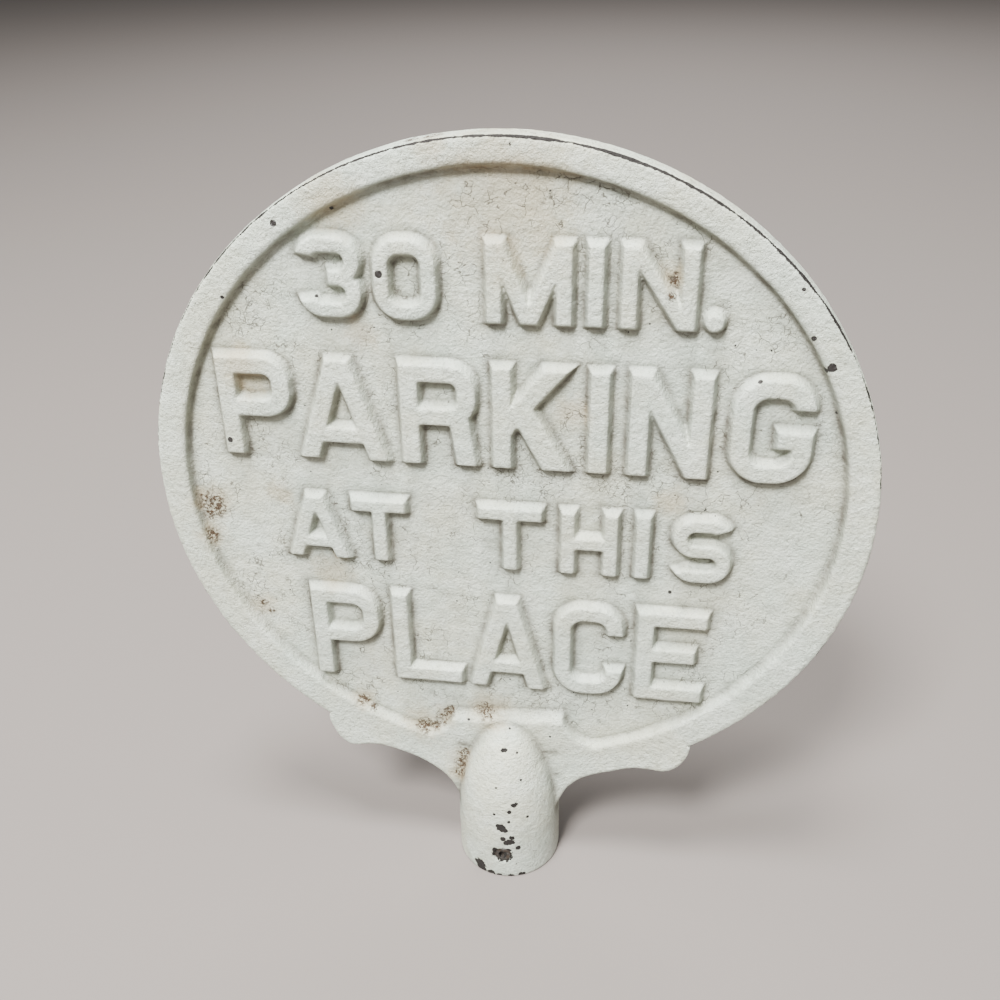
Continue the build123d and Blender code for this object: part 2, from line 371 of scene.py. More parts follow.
@dataclass
class Lines:
    """Points along the casting's inner corners and outer edges, for shading near them.

    Args:
        layout: the sign's sizes.
        spacing: how far apart the points are.
        grime_and_shade_climb: how much further the grime and painted shade reach up a wall than along a face.
        grime_and_shade_strength: how strong the grime and painted shade are on a line.
        overhang_shade: how much darker the mark is where a face looks down, as painted shade.
        ledge_light: how much lighter the mark is where a face looks up, as painted light.
        reach: how far each kind's effect carries.
        points: the points of each kind.
        trees: the same points, for finding the nearest.
    """

    layout: Layout
    spacing: float = 0.8 * MM
    grime_and_shade_climb: float = 2.6
    grime_and_shade_strength: float = 1.25
    overhang_shade: float = 0.4
    ledge_light: float = 1.1
    reach: dict[Gather, float] = field(
        default_factory=lambda: {Gather.DIRT_AND_SHADE: 2.3 * MM, Gather.WEAR: 1.3 * MM}
    )
    points: dict[Gather, list[Vector]] = field(
        default_factory=lambda: {Gather.DIRT_AND_SHADE: [], Gather.WEAR: []}
    )
    trees: dict[Gather, kdtree.KDTree] = field(default_factory=dict)

    def add_edges(self, node: str, kind: Gather, keep: Callable[[Vector], bool]) -> None:
        """Adds points along a CAD node's sharp edges.

        Args:
            node: the node's name.
            kind: what gathers there.
            keep: says of each end of an edge whether it counts.
        """
        shape = cad_copy(node)
        for edge in shape.edges:
            first, second = (corner.co for corner in edge.verts)
            if edge.calc_face_angle(0.0) > SHARP and keep(first) and keep(second):
                steps = max(1, math.ceil((second - first).length / self.spacing))
                self.points[kind] += [first.lerp(second, i / steps) for i in range(steps + 1)]
        shape.free()

    def add_ring(self, centre: Vector, radius: float, depth: float, kind: Gather) -> None:
        """Adds points round a circle that faces along Y.

        Args:
            centre: the circle's centre at the mid-plane.
            radius: its radius.
            depth: its place along Y from there.
            kind: what gathers there.
        """
        count = math.ceil(math.tau * radius / self.spacing)
        for i in range(count):
            turn = math.tau * i / count
            offset = Vector((radius * math.cos(turn), depth, radius * math.sin(turn)))
            self.points[kind].append(centre + offset)

    def gather(self) -> None:
        """Collects every line of the casting and indexes the points."""
        lay = self.layout

        def on_field(point: Vector) -> bool:
            """Whether a point lies on the field."""
            return abs(abs(point.y) - lay.half_web) < TOUCH

        def on_face(point: Vector) -> bool:
            """Whether a point lies on the rim's face or further out."""
            return abs(point.y) > lay.half_rim - TOUCH

        def by_socket(point: Vector) -> bool:
            """Whether a point lies where a face meets the socket."""
            return on_face(point) and math.hypot(point.x, point.y) < lay.socket_radius + TOUCH

        def free_edge(point: Vector) -> bool:
            """Whether a point lies on a wing's free edge."""
            clear = (point - lay.centre).length > lay.radius + MM
            return on_face(point) and clear and not by_socket(point)

        for name in (*lay.letters, "front_boss", "rear_boss"):
            self.add_edges(name, Gather.DIRT_AND_SHADE, on_field)
        for name in ("front_boss", "rear_boss", "left_wing", "right_wing", "outer_rim"):
            self.add_edges(name, Gather.DIRT_AND_SHADE, by_socket)
        for name in ("left_wing", "right_wing"):
            self.add_edges(name, Gather.WEAR, free_edge)
        self.add_edges("post_socket", Gather.WEAR, lambda point: point.z < TOUCH)
        inset = 0.6 * MM  # the rim's edge is rounded
        for side in Side:
            self.add_ring(lay.field_centre, lay.field_radius, side.value * lay.half_web, Gather.DIRT_AND_SHADE)
            self.add_ring(lay.centre, lay.radius - inset, side.value * (lay.half_rim - inset), Gather.WEAR)
        for kind, points in self.points.items():
            tree = kdtree.KDTree(len(points))
            for index, point in enumerate(points):
                tree.insert(point, index)
            tree.balance()
            self.trees[kind] = tree

    def closeness(self, vertex: bpy.types.MeshVertex, kind: Gather) -> float:
        """How strongly a point is marked, 1 on a line and fading away from it.

        The mark is grime and painted shade: it reaches further up steep walls, is darker where a face looks
        down and lighter where a face looks up.

        Args:
            vertex: the point.
            kind: what gathers there.

        Returns:
            The strength, from 0 to 1.
        """
        away = self.trees[kind].find(vertex.co)[2]
        if kind is Gather.WEAR:
            return math.exp(-away / self.reach[kind])
        steep = 1 - abs(vertex.normal.y)
        near = math.exp(-away / (self.reach[kind] * (1 + self.grime_and_shade_climb * steep)))
        # painted shade: darker where the face looks down, lighter where it looks up
        under, over = max(0.0, -vertex.normal.z), max(0.0, vertex.normal.z)
        return min(1.0, near * (self.grime_and_shade_strength + self.overhang_shade * under - self.ledge_light * over))

    def paint(self, piece: bpy.types.Object) -> None:
        """Writes each kind's closeness onto a piece's points.

        Args:
            piece: the piece.
        """
        for kind in Gather:
            values = [self.closeness(vertex, kind) for vertex in piece.data.vertices]
            layer = piece.data.attributes.new(kind.value, "FLOAT", "POINT")
            layer.data.foreach_set("value", values)


# ---------------------------------------------------------------- node helpers


class Graph:
    """A small writer of node trees."""

    def __init__(self, tree: bpy.types.NodeTree) -> None:
        """Starts on a tree."""
        self.tree = tree

    def node(self, kind: str, **settings: object) -> bpy.types.Node:
        """Adds a node.

        Args:
            kind: the node's type.
            settings: its properties and their values.

        Returns:
            The node.
        """
        made = self.tree.nodes.new(kind)
        for name, value in settings.items():
            setattr(made, name, value)
        return made

    def put(self, socket: Socket, value: Value) -> None:
        """Feeds an input.

        Args:
            socket: the input.
            value: an output to link to it, or its own value.
        """
        if isinstance(value, bpy.types.NodeSocket):
            self.tree.links.new(value, socket)
        else:
            socket.default_value = value

    def maths(self, operation: str, first: Value, second: Value) -> Socket:
        """Works on two numbers.

        Args:
            operation: the Math node's operation.
            first: the first number.
            second: the second number.

        Returns:
            The result.
        """
        made = self.node("ShaderNodeMath", operation=operation)
        self.put(made.inputs[0], first)
        self.put(made.inputs[1], second)
        return made.outputs[0]

    def times(self, first: Value, second: Value) -> Socket:
        """One number times another."""
        return self.maths("MULTIPLY", first, second)

    def vector(self, operation: str, first: Value, second: Value) -> Socket:
        """Works on two vectors.

        Args:
            operation: the Vector Math node's operation.
            first: the first vector.
            second: the second vector.

        Returns:
            The resulting vector.
        """
        made = self.node("ShaderNodeVectorMath", operation=operation)
        self.put(made.inputs[0], first)
        self.put(made.inputs[1], second)
        return made.outputs[0]

    def length(self, first: Value) -> Socket:
        """Measures a vector.

        Args:
            first: the vector.

        Returns:
            Its length.
        """
        made = self.node("ShaderNodeVectorMath", operation="LENGTH")
        self.put(made.inputs[0], first)
        return made.outputs["Value"]

    def span(
        self, value: Value, low: Value, high: Value, to_low: float = 0.0, to_high: float = 1.0,
        smooth: bool = True,
    ) -> Socket:
        """Maps a value from one range onto another, and holds it inside that.

        Args:
            value: the value.
            low: the first range's start.
            high: the first range's end.
            to_low: the second range's start.
            to_high: the second range's end.
            smooth: whether the ends are eased.

        Returns:
            The mapped value.
        """
        made = self.node("ShaderNodeMapRange", interpolation_type="SMOOTHSTEP" if smooth else "LINEAR")
        for socket, item in zip(made.inputs, (value, low, high, to_low, to_high)):
            self.put(socket, item)
        return made.outputs[0]

    def mix(self, factor: Value, first: Value, second: Value) -> Socket:
        """Mixes two colours.

        Args:
            factor: how much of the second there is.
            first: the first colour.
            second: the second colour.

        Returns:
            The mixed colour.
        """
        made = self.node("ShaderNodeMix", data_type="RGBA")
        self.put(made.inputs[0], factor)
        self.put(made.inputs[6], first)
        self.put(made.inputs[7], second)
        return made.outputs[2]

    def noise(self, place: Socket, scale: float, detail: float = 3.0, rough: float = 0.55) -> Socket:
        """Makes a noise pattern.

        Args:
            place: the coordinates.
            scale: how fine it is.
            detail: how many finer layers it has.
            rough: how strong those are.

        Returns:
            Its value, from 0 to 1.
        """
        made = self.node("ShaderNodeTexNoise")
        self.put(made.inputs["Vector"], place)
        made.inputs["Scale"].default_value = scale
        made.inputs["Detail"].default_value = detail
        made.inputs["Roughness"].default_value = rough
        return made.outputs["Fac"]

    def attribute(self, name: str) -> Socket:
        """A mesh attribute's value."""
        return self.node("ShaderNodeAttribute", attribute_name=name).outputs["Fac"]

    def group(self, tree: bpy.types.NodeTree, **inputs: Value) -> Socket:
        """Places a node group.

        Args:
            tree: the group.
            inputs: its inputs' values, by name.

        Returns:
            Its first output.
        """
        made = self.node("ShaderNodeGroup", node_tree=tree)
        for name, value in inputs.items():
            self.put(made.inputs[name], value)
        return made.outputs[0]


def new_group(name: str, inputs: dict[str, str], outputs: dict[str, str]) -> tuple[Graph, dict, dict]:
    """Starts a shader node group.

    Args:
        name: the group's name.
        inputs: each input's name and socket type.
        outputs: each output's name and socket type.

    Returns:
        The graph, the inputs' sockets and the outputs' sockets, by name.
    """
    tree = bpy.data.node_groups.new(name, "ShaderNodeTree")
    for label, kind in inputs.items():
        tree.interface.new_socket(name=label, in_out="INPUT", socket_type=kind)
    for label, kind in outputs.items():
        tree.interface.new_socket(name=label, in_out="OUTPUT", socket_type=kind)
    entry = tree.nodes.new("NodeGroupInput")
    leave = tree.nodes.new("NodeGroupOutput")
    ins = {label: entry.outputs[label] for label in inputs}
    outs = {label: leave.inputs[label] for label in outputs}
    return Graph(tree), ins, outs


FLOAT, VECTOR = "NodeSocketFloat", "NodeSocketVector"


def make_crazing_group() -> bpy.types.NodeTree:
    """Makes a group that draws fine cracks in old paint, in patches.

    Returns:
        The group: Mask is 1 in a crack.
    """
    graph, ins, outs = new_group(
        "crazing", {"Place": VECTOR, "Scale": FLOAT, "Width": FLOAT, "Patch": FLOAT}, {"Mask": FLOAT}
    )
    bend = graph.node("ShaderNodeTexNoise")
    graph.put(bend.inputs["Vector"], ins["Place"])
    bend.inputs["Scale"].default_value = 70.0
    bend.inputs["Detail"].default_value = 4.0
    shift = graph.vector("SUBTRACT", bend.outputs["Color"], (0.5, 0.5, 0.5))
    wander = graph.node("ShaderNodeVectorMath", operation="SCALE")
    graph.put(wander.inputs[0], shift)
    wander.inputs["Scale"].default_value = 0.016
    bent = graph.vector("ADD", ins["Place"], wander.outputs[0])
    cells = graph.node("ShaderNodeTexVoronoi", feature="DISTANCE_TO_EDGE")
    graph.put(cells.inputs["Vector"], bent)
    graph.put(cells.inputs["Scale"], ins["Scale"])
    line = graph.span(cells.outputs["Distance"], 0.0, ins["Width"], 1.0, 0.0)
    patch = graph.noise(ins["Place"], 17.0, 3.0, 0.6)
    spread = graph.span(patch, ins["Patch"], graph.maths("ADD", ins["Patch"], 0.09))
    broken = graph.span(graph.noise(ins["Place"], 160.0, 2.0), 0.44, 0.56)
    graph.put(outs["Mask"], graph.times(graph.times(line, spread), broken))
    return graph.tree


def make_speck_group() -> bpy.types.NodeTree:
    """Makes a group that scatters small round pits. Share is how many of its cells have one.

    Returns:
        The group: Mask is 1 in a pit.
    """
    graph, ins, outs = new_group(
        "specks", {"Place": VECTOR, "Scale": FLOAT, "Size": FLOAT, "Share": FLOAT}, {"Mask": FLOAT}
    )
    cells = graph.node("ShaderNodeTexVoronoi", feature="F1")
    graph.put(cells.inputs["Vector"], ins["Place"])
    graph.put(cells.inputs["Scale"], ins["Scale"])
    parts = graph.node("ShaderNodeSeparateColor")
    graph.put(parts.inputs[0], cells.outputs["Color"])
    chosen = graph.maths("LESS_THAN", parts.outputs[0], ins["Share"])
    size = graph.times(ins["Size"], graph.span(parts.outputs[1], 0.0, 1.0, 0.35, 1.0, False))
    wobble = graph.times(graph.noise(ins["Place"], 900.0, 2.0), 0.09)
    reach = graph.maths("SUBTRACT", graph.maths("ADD", cells.outputs["Distance"], wobble), 0.045)
    pit = graph.span(reach, graph.times(size, 0.75), size, 1.0, 0.0)
    graph.put(outs["Mask"], graph.times(pit, chosen))
    return graph.tree


def make_blotch_group() -> bpy.types.NodeTree:
    """Makes a group that draws one ragged mark about a point. Ragged is how far its edge wanders.

    Returns:
        The group: Mask is 1 inside the mark.
    """
    graph, ins, outs = new_group(
        "blotch",
        {"Place": VECTOR, "Centre": VECTOR, "Radius": FLOAT, "Ragged": FLOAT, "Soft": FLOAT, "Ruffle": FLOAT},
        {"Mask": FLOAT},
    )
    away = graph.length(graph.vector("SUBTRACT", ins["Place"], ins["Centre"]))
    relative = graph.maths("DIVIDE", away, ins["Radius"])
    ruffle = graph.times(graph.maths("SUBTRACT", ins["Ruffle"], 0.5), ins["Ragged"])
    edge = graph.maths("ADD", relative, ruffle)
    half = graph.times(ins["Soft"], 0.5)
    inside = graph.span(edge, graph.maths("SUBTRACT", 1.0, half), graph.maths("ADD", 1.0, half), 1.0, 0.0)
    graph.put(outs["Mask"], inside)
    return graph.tree


# ---------------------------------------------------------------- finishes


@dataclass(frozen=True)
class Mark:
    """One ragged mark on the front, placed from the disc's centre in millimetres.

    Args:
        right: how far right.
        up: how far up.
        radius: its size.
        depth: how far in front of the mid-plane it lies, or None for on the surface.
    """

    right: float
    up: float
    radius: float
    depth: float | None = None

    def place(self, layout: Layout) -> Vector:
        """Finds the mark's centre in the frame.

        Args:
            layout: the sign's sizes.

        Returns:
            The centre.
        """
        spot = layout.centre + Vector((self.right, 0, self.up)) * MM
        if self.depth is None:
            hit = layout.front.ray_cast(spot - Vector((0, layout.radius, 0)), Vector((0, 1, 0)))[0]
            return hit or spot
        return spot - Vector((0, self.depth * MM, 0))


STAINS = (
    Mark(-38, 224, 10), Mark(96, 152, 8), Mark(-197, -13, 12), Mark(-202, -38, 9),
    Mark(-62, -192, 14), Mark(-46, -183, 9), Mark(-34, -219, 9), Mark(-35, -232, 9),
    Mark(-107, -173, 8), Mark(-160, 79, 11), Mark(-164, 92, 12), Mark(-86, 112, 9),
    Mark(-119, -62, 12), Mark(-150, -3, 8), Mark(104, 8, 9), Mark(0, 195, 34),
    Mark(-96, 190, 16), Mark(-12, -174, 14), Mark(42, 66, 9), Mark(-224, 60, 7), Mark(-173, -95, 8),
)
RUST = (
    Mark(-38, 226, 5), Mark(-50, 225, 4.2), Mark(97, 151, 3.6), Mark(96, 143, 3.0),
    Mark(-197, -14, 8.5), Mark(-201, -23, 4.0), Mark(-202, -39, 5.4), Mark(-193, -19, 4.0),
    Mark(-62, -195, 6.0), Mark(-54, -193, 4.6), Mark(-47, -185, 5.0), Mark(-42, -178, 3.8),
    Mark(-32, -213, 4.6), Mark(-34, -222, 5.2), Mark(-35, -231, 4.8), Mark(-107, -175, 4.4),
    Mark(-99, -180, 3.2), Mark(-173, -93, 2.8), Mark(-168, -100, 2.4), Mark(-15, -175, 6),
)
PITS = (
    Mark(-71, 150, 2.3), Mark(187, 105, 2.7), Mark(184, 103, 1.8), Mark(-176, 38, 1.8), Mark(-130, 178, 1.9),
    Mark(-110, 135, 1.2), Mark(175, 122, 1.5), Mark(166, 150, 1.1), Mark(149, 94, 1.3), Mark(108, -60, 1.2),
    Mark(-97, 186, 1.1), Mark(-216, 92, 1.4), Mark(-167, 133, 1.2), Mark(195, 75, 1.2),
    Mark(8.9, -196.5, 0.9), Mark(12.5, -215.6, 1.0), Mark(-5.2, -221.9, 0.8),
    Mark(-28, -181, 0.9), Mark(2.4, -183, 0.9), Mark(31.4, -189.5, 0.9),
)
CHIPS = (
    Mark(0, -284.6, 7.0, 36.4),
    Mark(-1.0, -256.0, 3.5), Mark(-3.4, -254.8, 2.0), Mark(2.0, -258.0, 2.0),
    Mark(7.9, -235.4, 2.0), Mark(9.8, -234.2, 1.4), Mark(4.9, -240.9, 1.6),
    Mark(4.8, -250.1, 1.2), Mark(0.2, -266.4, 2.3), Mark(6.0, -269.7, 3.0),
    Mark(3.0, -270.6, 2.4), Mark(7.0, -265.4, 2.1), Mark(11.3, -276.3, 2.2),
    Mark(18.0, -247.2, 1.1), Mark(-6.2, -244.5, 1.1), Mark(-5.6, -279.5, 2.6),
    Mark(4.4, -278.4, 2.0), Mark(-18.0, -300.5, 4.9), Mark(-16.5, -304.5, 3.8),
    Mark(-9.0, -305.4, 3.2), Mark(-3.0, -306.0, 2.0), Mark(6.0, -306.2, 2.2), Mark(14.0, -305.6, 2.8),
    Mark(-1.2, -194.9, 1.6), Mark(0.6, -194.6, 1.4),
)


@dataclass(frozen=True)
class Enamel:
    """Thick old off-white enamel over cast iron, with its grime, cracks, pits, rust and chips, and painted
    shade in its corners and low on the casting.

    Args:
        warm: the paint's yellower colour.
        cool: its greener colour.
        clean: where it is brightest.
        dirt_and_shade: the dust caked in corners.
        crack: the inside of a crack.
        stain: the tan of a water stain.
        iron: bare dark iron.
        rust: flaking rust.
        film: how dark the thin grime over all of it is.
        grit: how dark its fine specks are.
        corner_grime_and_shade: how dark the dust and painted shade in corners are.
        low_shade_strength: how dark the painted shade low on the casting is, darkest at the socket's mouth.
        staining: how strong the stains are.
        crazing: how dark the cracks are.
        lumps: the brush marks' height.
        peel: the orange peel's height.
        step: the height of a layer of old paint that has flaked off.
        flake: how far the rust stands up.
        sunk: how deep each kind of damage is.
    """

    warm: Colour = (0.625, 0.650, 0.525, 1.0)
    cool: Colour = (0.600, 0.675, 0.590, 1.0)
    clean: Colour = (0.740, 0.800, 0.715, 1.0)
    dirt_and_shade: Colour = (0.115, 0.105, 0.082, 1.0)
    crack: Colour = (0.075, 0.062, 0.045, 1.0)
    stain: Colour = (0.400, 0.290, 0.140, 1.0)
    iron: Colour = (0.022, 0.019, 0.018, 1.0)
    rust: Colour = (0.060, 0.034, 0.016, 1.0)
    film: float = 0.26
    grit: float = 0.5
    corner_grime_and_shade: float = 0.95
    low_shade_strength: float = 0.10
    staining: float = 0.42
    crazing: float = 0.88
    lumps: float = 1.5 * MM
    peel: float = 1.3 * MM
    step: float = 0.18 * MM
    flake: float = 0.2 * MM
    sunk: tuple[tuple[str, float], ...] = (("crack", 0.22 * MM), ("pit", 0.6 * MM), ("chip", 0.3 * MM))

    def build(self, layout: Layout) -> bpy.types.Material:
        """Makes the material.

        Args:
            layout: the sign's sizes, for placing the marks.

        Returns:
            The material.
        """
        material = bpy.data.materials.new("enamel")
        material.use_nodes = True
        graph = Graph(material.node_tree)
        graph.tree.nodes.clear()
        shader = graph.node("ShaderNodeBsdfPrincipled")
        output = graph.node("ShaderNodeOutputMaterial")
        graph.put(output.inputs["Surface"], shader.outputs[0])
        place = graph.node("ShaderNodeTexCoord").outputs["Object"]
        ruffle = graph.noise(place, 330.0, 4.0, 0.6)
        masks = self.masks(graph, place, ruffle, layout)
        graph.put(shader.inputs["Base Color"], self.colour(graph, place, masks))
        graph.put(shader.inputs["Roughness"], self.roughness(graph, place, masks))
        graph.put(shader.inputs["Metallic"], graph.times(masks["chip"], 0.35))
        graph.put(shader.inputs["Normal"], self.relief(graph, place, masks))
        return material

    def masks(self, graph: Graph, place: Socket, ruffle: Socket, layout: Layout) -> dict[str, Socket]:
        """Works out where each kind of wear and painted shade lies.

        Args:
            graph: the material's graph.
            place: the Object coordinates.
            ruffle: a fine noise that roughens the marks' edges.
            layout: the sign's sizes.

        Returns:
            A socket for each mask, by name.
        """
        # the corner mark: grime together with painted shade in corners, up walls and where faces look down
        crevice_grime_and_shade = graph.attribute(Gather.DIRT_AND_SHADE.value)
        edge = graph.attribute(Gather.WEAR.value)
        split = graph.node("ShaderNodeSeparateXYZ")
        graph.put(split.inputs[0], place)
        depth = graph.maths("ABSOLUTE", split.outputs["Y"], 0.0)
        low_ground = graph.span(depth, layout.half_web + 0.6 * MM, layout.half_web + 1.6 * MM, 1.0, 0.0)
        crazing = make_crazing_group()
        wide = graph.group(crazing, Place=place, Scale=95.0, Width=0.034, Patch=0.47)
        moved = graph.vector("ADD", place, (0.31, 0.0, 0.17))
        tight = graph.group(crazing, Place=moved, Scale=210.0, Width=0.060, Patch=0.51)
        cracks = graph.times(graph.maths("MAXIMUM", wide, tight), low_ground)
        specks = make_speck_group()
        small = graph.group(specks, Place=place, Scale=85.0, Size=0.060, Share=0.42)
        large = graph.group(specks, Place=place, Scale=26.0, Size=0.036, Share=0.30)
        pit = graph.maths("MAXIMUM", small, large)
        pit = graph.maths("MAXIMUM", pit, self.blotches(graph, place, ruffle, PITS, layout, 1.1, 0.2))
        height = graph.span(split.outputs["Z"], layout.centre.z, layout.centre.z + 0.9 * layout.radius)
        sideways = graph.span(split.outputs["X"], -1.05 * layout.radius, -0.2 * layout.radius, 0.45, 1.0)
        worn = graph.times(height, sideways)
        level = graph.maths("SUBTRACT", 0.76, graph.times(worn, 0.30))
        patches = graph.noise(place, 42.0, 4.0, 0.62)
        ready = graph.maths("ADD", edge, graph.times(graph.maths("SUBTRACT", patches, 0.5), 1.1))
        ready = graph.maths("ADD", ready, graph.times(graph.maths("SUBTRACT", ruffle, 0.5), 0.5))
        edge_chip = graph.span(ready, level, graph.maths("ADD", level, 0.05))
        edge_chip = graph.times(edge_chip, graph.span(edge, 0.25, 0.4))
        chip = graph.maths("MAXIMUM", edge_chip, self.blotches(graph, place, ruffle, CHIPS, layout, 1.5, 0.08))
        spots = self.blotches(graph, place, ruffle, RUST, layout, 3.0, 0.9)
        flecks = graph.span(graph.noise(place, 620.0, 5.0, 0.7), 0.45, 0.51)
        rust = graph.times(spots, flecks)
        stain = self.blotches(graph, place, graph.noise(place, 120.0, 5.0, 0.7), STAINS, layout, 2.4, 1.4)
        grime_and_shade_strength = graph.span(graph.noise(place, 55.0, 5.0, 0.65), 0.36, 0.66)
        # painted shade: darker towards the bottom, fully below 30 mm and fading out by 95 mm above the socket's
        # mouth
        low_shade = graph.span(split.outputs["Z"], 30 * MM, 95 * MM, 1.0, 0.0)
        return {
            "crevice_grime_and_shade": crevice_grime_and_shade,
            "crack": cracks,
            "pit": pit,
            "chip": chip,
            "rust": rust,
            "stain": stain,
            "grime_and_shade_strength": grime_and_shade_strength,
            "low_shade": low_shade,
        }

    def blotches(
        self, graph: Graph, place: Socket, ruffle: Socket, marks: tuple[Mark, ...], layout: Layout,
        ragged: float, soft: float,
    ) -> Socket:
        """The highest of several marks' masks.

        Args:
            graph: the material's graph.
            place: the Object coordinates.
            ruffle: the noise for their edges.
            marks: where they are.
            layout: the sign's sizes.
            ragged: how far their edges wander.
            soft: how soft their edges are.

        Returns:
            The joint mask's socket.
        """
        tree = bpy.data.node_groups.get("blotch") or make_blotch_group()
        whole = None
        for mark in marks:
            one = graph.group(
                tree, Place=place, Centre=mark.place(layout), Radius=mark.radius * MM, Ragged=ragged,
                Soft=soft, Ruffle=ruffle,
            )
            whole = one if whole is None else graph.maths("MAXIMUM", whole, one)
        return whole

    def colour(self, graph: Graph, place: Socket, masks: dict[str, Socket]) -> Socket:
        """Mixes the paint's colour with everything that lies on it, and with painted shade in corners and low
        on the casting.

        Args:
            graph: the material's graph.
            place: the Object coordinates.
            masks: where each kind of wear and painted shade lies.

        Returns:
            The colour.
        """
        broad = graph.span(graph.noise(place, 14.0, 4.0, 0.6), 0.36, 0.66)
        paint = graph.mix(broad, self.warm, self.cool)
        bright = graph.span(graph.noise(place, 38.0, 5.0, 0.7), 0.42, 0.72)
        paint = graph.mix(graph.times(bright, 0.75), paint, self.clean)
        film = graph.span(graph.noise(place, 240.0, 5.0, 0.7), 0.46, 0.74)
        paint = graph.mix(graph.times(film, self.film), paint, self.dirt_and_shade)
        grit = graph.span(graph.noise(place, 850.0, 2.0), 0.61, 0.70)
        paint = graph.mix(graph.times(grit, self.grit), paint, self.dirt_and_shade)
        # painted shade low on the casting
        paint = graph.mix(graph.times(masks["low_shade"], self.low_shade_strength), paint, self.dirt_and_shade)
        # dust and painted shade in corners, darker up walls and where faces look down
        near = graph.times(graph.maths("POWER", masks["crevice_grime_and_shade"], 0.9), self.corner_grime_and_shade)
        dust_and_shade = graph.times(near, graph.span(masks["grime_and_shade_strength"], 0.0, 1.0, 0.6, 1.0, False))
        paint = graph.mix(dust_and_shade, paint, self.dirt_and_shade)
        paint = graph.mix(graph.times(masks["stain"], self.staining), paint, self.stain)
        paint = graph.mix(masks["rust"], paint, self.rust)
        paint = graph.mix(graph.times(masks["crack"], self.crazing), paint, self.crack)
        paint = graph.mix(masks["pit"], paint, self.iron)
        return graph.mix(masks["chip"], paint, self.iron)

    def roughness(self, graph: Graph, place: Socket, masks: dict[str, Socket]) -> Socket:
        """Makes the paint satin, and dull where it is dirty or gone.

        Args:
            graph: the material's graph.
            place: the Object coordinates.
            masks: where each kind of wear lies.

        Returns:
            The roughness.
        """
        satin = graph.span(graph.noise(place, 60.0, 4.0), 0.35, 0.7, 0.30, 0.46)
        dull = graph.maths("MAXIMUM", masks["chip"], masks["rust"])
        dull = graph.maths("MAXIMUM", dull, graph.times(masks["crevice_grime_and_shade"], 0.7))
        return graph.maths("ADD", satin, graph.times(dull, 0.32))

    def relief(self, graph: Graph, place: Socket, masks: dict[str, Socket]) -> Socket:
        """Makes the fine unevenness: brush marks, orange peel, old flaked layers and the damage.

        Args:
            graph: the material's graph.
            place: the Object coordinates.
            masks: where each kind of wear lies.

        Returns:
            The normal.
        """
        lumps = graph.times(graph.noise(place, 120.0, 3.0, 0.6), self.lumps)
        peel = graph.times(graph.noise(place, 520.0, 4.0, 0.65), self.peel)
        height = graph.maths("ADD", lumps, peel)
        flaking = graph.noise(place, 46.0, 5.0, 0.68)
        for level in (0.43, 0.50, 0.57):
            edge = graph.span(flaking, level, level + 0.008)
            height = graph.maths("ADD", height, graph.times(edge, self.step))
        for name, depth in self.sunk:
            height = graph.maths("SUBTRACT", height, graph.times(masks[name], depth))
        flakes = graph.times(masks["rust"], graph.noise(place, 600.0, 4.0))
        height = graph.maths("ADD", height, graph.times(flakes, self.flake))
        bump = graph.node("ShaderNodeBump")
        bump.inputs["Strength"].default_value = 1.0
        bump.inputs["Distance"].default_value = 1.0
        graph.put(bump.inputs["Height"], height)
        return bump.outputs[0]


@dataclass(frozen=True)
class DarkSteel:
    """The set screw's dull darkened steel, with bare scratches and rusty grime.

    Args:
        steel: the darkened steel.
        worn: the bare scratches.
        rust: the grime.
    """

    steel: Colour = (0.080, 0.077, 0.074, 1.0)
    worn: Colour = (0.220, 0.216, 0.212, 1.0)
    rust: Colour = (0.050, 0.036, 0.026, 1.0)

    def build(self) -> bpy.types.Material:
        """Makes the material.

        Returns:
            The material.
        """
        material = bpy.data.materials.new("dark_steel")
        material.use_nodes = True
        graph = Graph(material.node_tree)
        shader = graph.tree.nodes["Principled BSDF"]
        place = graph.node("ShaderNodeTexCoord").outputs["Object"]
        grime = graph.span(graph.noise(place, 420.0, 4.0, 0.6), 0.42, 0.62)
        scratch = graph.span(graph.noise(place, 1500.0, 2.0), 0.52, 0.7)
        colour = graph.mix(scratch, self.steel, self.worn)
        graph.put(shader.inputs["Base Color"], graph.mix(grime, colour, self.rust))
        graph.put(shader.inputs["Metallic"], graph.maths("SUBTRACT", 0.9, graph.times(grime, 0.7)))
        graph.put(shader.inputs["Roughness"], graph.maths("ADD", 0.42, graph.times(grime, 0.35)))
        bump = graph.node("ShaderNodeBump")
        bump.inputs["Distance"].default_value = 1.0
        graph.put(bump.inputs["Height"], graph.times(grime, 0.00012))
        graph.put(shader.inputs["Normal"], bump.outputs[0])
        return material


# ---------------------------------------------------------------- sub-assemblies


